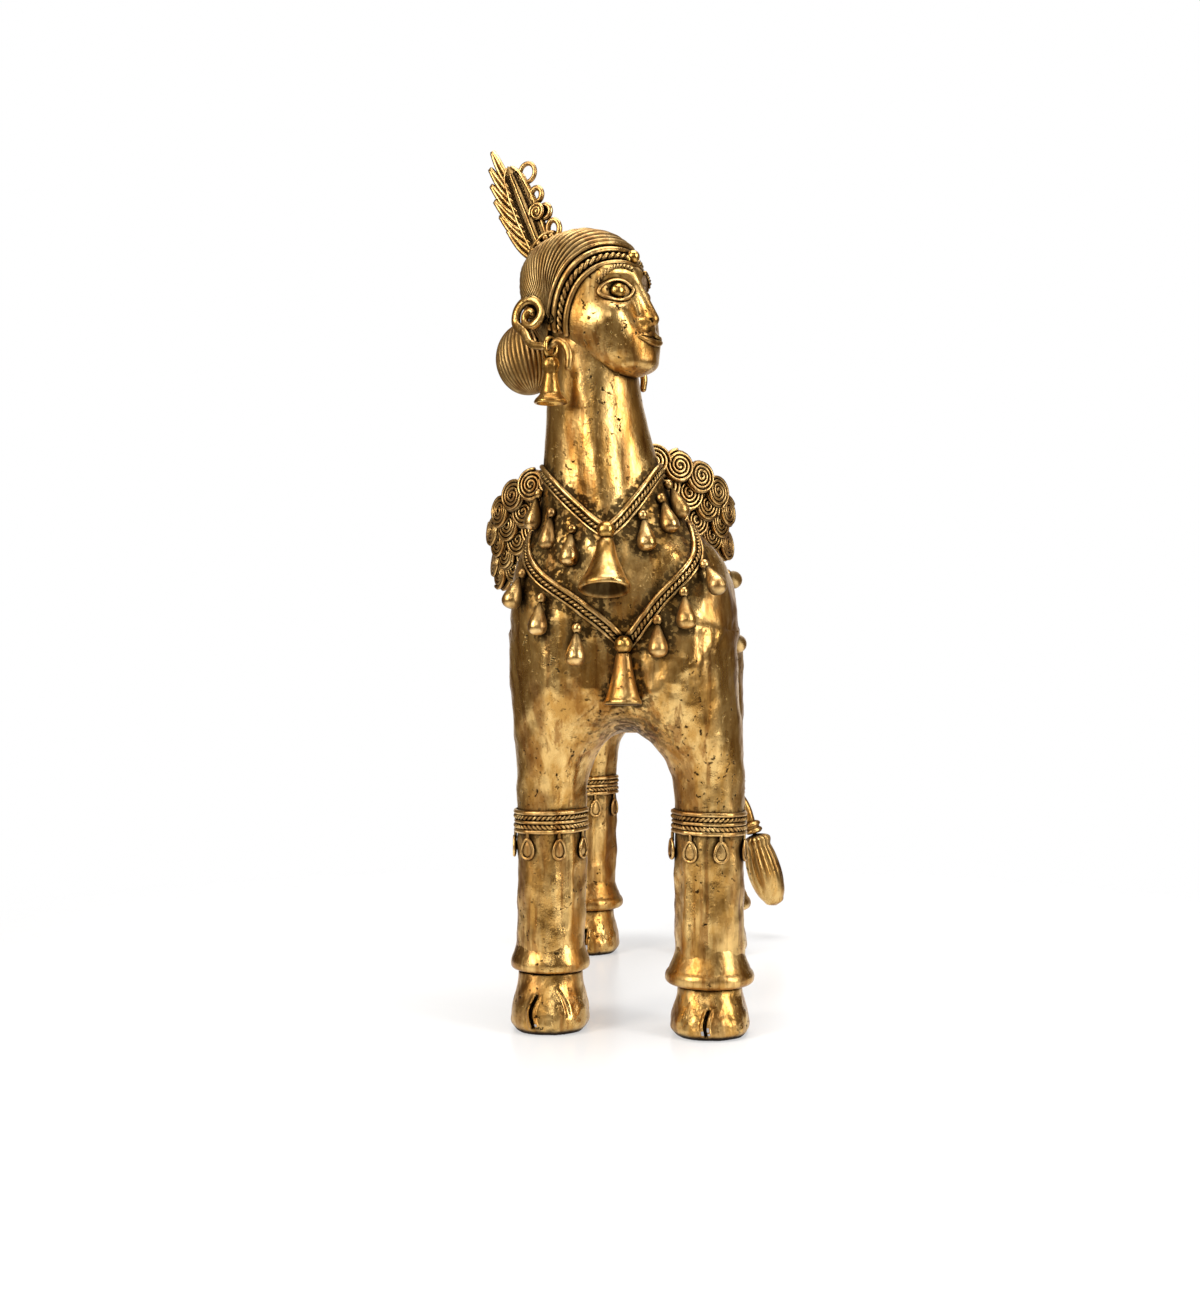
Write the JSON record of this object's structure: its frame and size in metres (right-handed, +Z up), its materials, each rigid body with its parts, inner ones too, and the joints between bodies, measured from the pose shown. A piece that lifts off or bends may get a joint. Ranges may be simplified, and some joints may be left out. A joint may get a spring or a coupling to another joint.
{
  "type": "brass kamadhenu figurine",
  "caption": "Standing winged cow with a woman's head, a lost-wax brass figure with necklaces, coil wings, crest, anklets and hanging ear bells, for display on a shelf.",
  "frame": {"origin": "on the floor, under the middle of the figure's box", "axes": "+Z up; -Y is where the cow's body faces; +X is the figure's left"},
  "size_m": [0.0922, 0.1834, 0.2395],
  "materials": {
    "brass": "aged, with dark recesses",
    "ornament_brass": "aged, worn bright on the raised threads",
    "clay": "matt"
  },
  "bodies": {
    "figure": {"clay_core": "clay", "body_shell": "brass", "neck": "brass", "tail": "brass", "head": "brass", "hair_cap": "brass", "hair_bun": "brass", "upper_lip": "brass", "lower_lip": "brass", "crest_leaf": "brass", "leg_front_left": "brass", "hoof_front_left": "brass", "leg_front_right": "brass", "hoof_front_right": "brass", "leg_rear_left": "brass", "hoof_rear_left": "brass", "leg_rear_right": "brass", "hoof_rear_right": "brass", "wing_left": "ornament_brass", "wing_right": "ornament_brass", "necklace_upper": "ornament_brass", "necklace_lower": "ornament_brass", "upper_bead": "ornament_brass", "lower_bead": "ornament_brass", "upper_bell": "ornament_brass", "lower_bell": "ornament_brass", "girth_garland": "ornament_brass", "tail_collar": "ornament_brass", "tail_tuft": "ornament_brass", "headband_lower_wire": "ornament_brass", "headband_rope": "ornament_brass", "headband_upper_wire": "ornament_brass", "forehead_jewel": "ornament_brass", "crest_barbs": "ornament_brass", "crest_scrolls": "ornament_brass", "crest_ring": "ornament_brass", "crest_collar": "ornament_brass", "anklet_front_left": "ornament_brass", "knee_band_front_left": "ornament_brass", "anklet_front_right": "ornament_brass", "knee_band_front_right": "ornament_brass", "anklet_rear_left": "ornament_brass", "knee_band_rear_left": "ornament_brass", "anklet_rear_right": "ornament_brass", "knee_band_rear_right": "ornament_brass", "eye_bead_left": "ornament_brass", "eye_rim_left": "ornament_brass", "brow_left": "ornament_brass", "ear_hook_left": "ornament_brass", "eye_bead_right": "ornament_brass", "eye_rim_right": "ornament_brass", "brow_right": "ornament_brass", "ear_hook_right": "ornament_brass"},
    "bell_left": {"ear_bell_left": "ornament_brass"},
    "bell_right": {"ear_bell_right": "ornament_brass"}
  },
  "joints": [
    {"name": "ear_bell_left_swing", "type": "hinge", "parent": "figure", "child": "bell_left", "pos_m": [-0.00358, -0.04765, 0.17929], "axis": [0.866, -0.5, 0], "range_deg": [-5, 35]},
    {"name": "ear_bell_right_swing", "type": "hinge", "parent": "figure", "child": "bell_right", "pos_m": [-0.0207, -0.08219, 0.17981], "axis": [-0.866, 0.5, 0], "range_deg": [-5, 35]}
  ]
}
